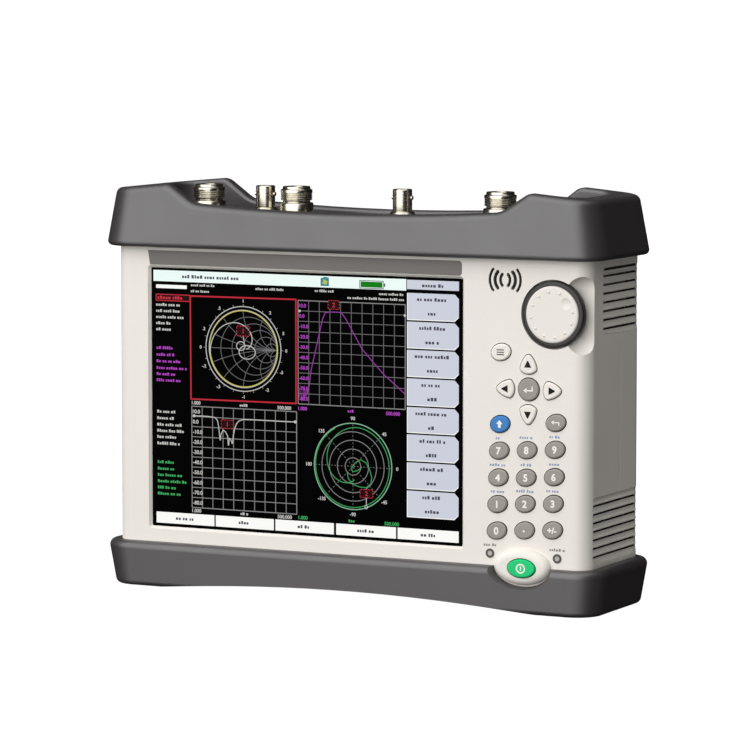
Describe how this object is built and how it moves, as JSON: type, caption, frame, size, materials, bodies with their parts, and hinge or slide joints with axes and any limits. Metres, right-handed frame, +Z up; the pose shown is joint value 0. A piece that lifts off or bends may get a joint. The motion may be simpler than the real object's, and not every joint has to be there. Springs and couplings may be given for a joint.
{
  "type": "handheld vector network analyzer",
  "caption": "Portable radio test set: landscape case with rubber end bumpers, large display, keypad, tuning knob, tilt bail and coaxial ports in a top recess.",
  "frame": {"origin": "centre of the footprint, on the surface that the bottom bumper stands on", "axes": "+X to the user's right along the width, +Y from the display to the back, +Z up"},
  "size_m": [0.2732, 0.0756, 0.2027],
  "materials": {
    "case_plastic": "fine moulded texture",
    "bumper_rubber": "matte moulded elastomer",
    "seal_rubber": "matte",
    "strip_grey": "satin printed film",
    "display_black": "gloss, lit picture",
    "lcd_silver": "pressed frame",
    "zinc_sheet": "zinc plated",
    "screw_steel": "zinc plated",
    "mat_silicone": "silicone",
    "board_green": "solder mask",
    "encoder_black": "moulded",
    "knob_rubber": "soft grip",
    "knob_plastic": "satin moulded",
    "lamp_clear": "smoked lamp lens",
    "panel_dark": "powder coat",
    "nickel": "nickel plated",
    "ptfe": "natural PTFE",
    "contact_gold": "gold plated",
    "jack_black": "moulded",
    "shield_aluminium": "milled",
    "bail_grey": "moulded",
    "key_grey": "silicone key, matte",
    "key_white": "silicone key, matte",
    "key_blue": "silicone key, matte",
    "key_green": "silicone key, matte"
  },
  "bodies": {
    "case": {"front_case": "case_plastic", "rear_case": "case_plastic", "battery_door": "case_plastic", "vent_grilles": "case_plastic", "case_seal": "seal_rubber", "top_bumper": "bumper_rubber", "bottom_bumper": "bumper_rubber", "name_strip": "strip_grey", "display_lens": "display_black", "display_gasket": "seal_rubber", "lcd_module": "lcd_silver", "lcd_bracket": "zinc_sheet", "board_standoffs": "zinc_sheet", "board_screws": "screw_steel", "case_screws": "screw_steel", "bail_pins": "screw_steel", "keypad_mat": "mat_silicone", "keypad_board": "board_green", "main_board": "board_green", "encoder_body": "encoder_black", "led_lenses": "lamp_clear", "connector_panel": "panel_dark", "n_connectors": "nickel", "bnc_connectors": "nickel", "connector_nuts": "nickel", "connector_insulators": "ptfe", "connector_contacts": "contact_gold", "dc_jack": "jack_black", "usb_port": "nickel", "headset_jack": "jack_black", "rf_module": "shield_aluminium", "battery_pack": "jack_black", "speaker": "jack_black", "fan_frame": "jack_black"},
    "knob": {"knob_ring": "knob_rubber", "knob_cap": "knob_plastic", "encoder_shaft": "screw_steel"},
    "key_menu_body": {"key_menu": "key_white"},
    "key_shift_body": {"key_shift": "key_blue"},
    "key_esc_body": {"key_esc": "key_grey"},
    "key_7_body": {"key_7": "key_grey"},
    "key_8_body": {"key_8": "key_grey"},
    "key_9_body": {"key_9": "key_grey"},
    "key_4_body": {"key_4": "key_grey"},
    "key_5_body": {"key_5": "key_grey"},
    "key_6_body": {"key_6": "key_grey"},
    "key_1_body": {"key_1": "key_grey"},
    "key_2_body": {"key_2": "key_grey"},
    "key_3_body": {"key_3": "key_grey"},
    "key_0_body": {"key_0": "key_grey"},
    "key_dot_body": {"key_dot": "key_grey"},
    "key_plus_minus_body": {"key_plus_minus": "key_grey"},
    "key_enter_body": {"key_enter": "key_grey"},
    "key_up_body": {"key_up": "key_white"},
    "key_left_body": {"key_left": "key_white"},
    "key_down_body": {"key_down": "key_white"},
    "key_right_body": {"key_right": "key_white"},
    "power_button_body": {"power_button": "key_green"},
    "bail": {"tilt_bail": "bail_grey"},
    "fan": {"fan_rotor": "jack_black"}
  },
  "joints": [
    {"name": "knob_turn", "type": "hinge", "parent": "case", "child": "knob", "pos_m": [0.1112, 0, 0.14525], "axis": [0, -1, 0], "continuous": true},
    {"name": "key_menu_press", "type": "slide", "parent": "case", "child": "key_menu_body", "axis": [0, 1, 0], "range_m": [0, 0.001], "stiffness_N_per_m": 1200},
    {"name": "key_shift_press", "type": "slide", "parent": "case", "child": "key_shift_body", "axis": [0, 1, 0], "range_m": [0, 0.001], "stiffness_N_per_m": 1200},
    {"name": "key_esc_press", "type": "slide", "parent": "case", "child": "key_esc_body", "axis": [0, 1, 0], "range_m": [0, 0.001], "stiffness_N_per_m": 1200},
    {"name": "key_7_press", "type": "slide", "parent": "case", "child": "key_7_body", "axis": [0, 1, 0], "range_m": [0, 0.001], "stiffness_N_per_m": 1200},
    {"name": "key_8_press", "type": "slide", "parent": "case", "child": "key_8_body", "axis": [0, 1, 0], "range_m": [0, 0.001], "stiffness_N_per_m": 1200},
    {"name": "key_9_press", "type": "slide", "parent": "case", "child": "key_9_body", "axis": [0, 1, 0], "range_m": [0, 0.001], "stiffness_N_per_m": 1200},
    {"name": "key_4_press", "type": "slide", "parent": "case", "child": "key_4_body", "axis": [0, 1, 0], "range_m": [0, 0.001], "stiffness_N_per_m": 1200},
    {"name": "key_5_press", "type": "slide", "parent": "case", "child": "key_5_body", "axis": [0, 1, 0], "range_m": [0, 0.001], "stiffness_N_per_m": 1200},
    {"name": "key_6_press", "type": "slide", "parent": "case", "child": "key_6_body", "axis": [0, 1, 0], "range_m": [0, 0.001], "stiffness_N_per_m": 1200},
    {"name": "key_1_press", "type": "slide", "parent": "case", "child": "key_1_body", "axis": [0, 1, 0], "range_m": [0, 0.001], "stiffness_N_per_m": 1200},
    {"name": "key_2_press", "type": "slide", "parent": "case", "child": "key_2_body", "axis": [0, 1, 0], "range_m": [0, 0.001], "stiffness_N_per_m": 1200},
    {"name": "key_3_press", "type": "slide", "parent": "case", "child": "key_3_body", "axis": [0, 1, 0], "range_m": [0, 0.001], "stiffness_N_per_m": 1200},
    {"name": "key_0_press", "type": "slide", "parent": "case", "child": "key_0_body", "axis": [0, 1, 0], "range_m": [0, 0.001], "stiffness_N_per_m": 1200},
    {"name": "key_dot_press", "type": "slide", "parent": "case", "child": "key_dot_body", "axis": [0, 1, 0], "range_m": [0, 0.001], "stiffness_N_per_m": 1200},
    {"name": "key_plus_minus_press", "type": "slide", "parent": "case", "child": "key_plus_minus_body", "axis": [0, 1, 0], "range_m": [0, 0.001], "stiffness_N_per_m": 1200},
    {"name": "key_enter_press", "type": "slide", "parent": "case", "child": "key_enter_body", "axis": [0, 1, 0], "range_m": [0, 0.001], "stiffness_N_per_m": 1200},
    {"name": "key_up_press", "type": "slide", "parent": "case", "child": "key_up_body", "axis": [0, 1, 0], "range_m": [0, 0.001], "stiffness_N_per_m": 1200},
    {"name": "key_left_press", "type": "slide", "parent": "case", "child": "key_left_body", "axis": [0, 1, 0], "range_m": [0, 0.001], "stiffness_N_per_m": 1200},
    {"name": "key_down_press", "type": "slide", "parent": "case", "child": "key_down_body", "axis": [0, 1, 0], "range_m": [0, 0.001], "stiffness_N_per_m": 1200},
    {"name": "key_right_press", "type": "slide", "parent": "case", "child": "key_right_body", "axis": [0, 1, 0], "range_m": [0, 0.001], "stiffness_N_per_m": 1200},
    {"name": "power_button_press", "type": "slide", "parent": "case", "child": "power_button_body", "axis": [0, 1, 0], "range_m": [0, 0.001], "stiffness_N_per_m": 1200},
    {"name": "bail_swing", "type": "hinge", "parent": "case", "child": "bail", "pos_m": [0, 0.0322, 0.118], "axis": [1, 0, 0], "range_deg": [0, 40]},
    {"name": "fan_spin", "type": "hinge", "parent": "case", "child": "fan", "pos_m": [0.119, 0.0025, 0.041], "axis": [1, 0, 0], "continuous": true}
  ]
}
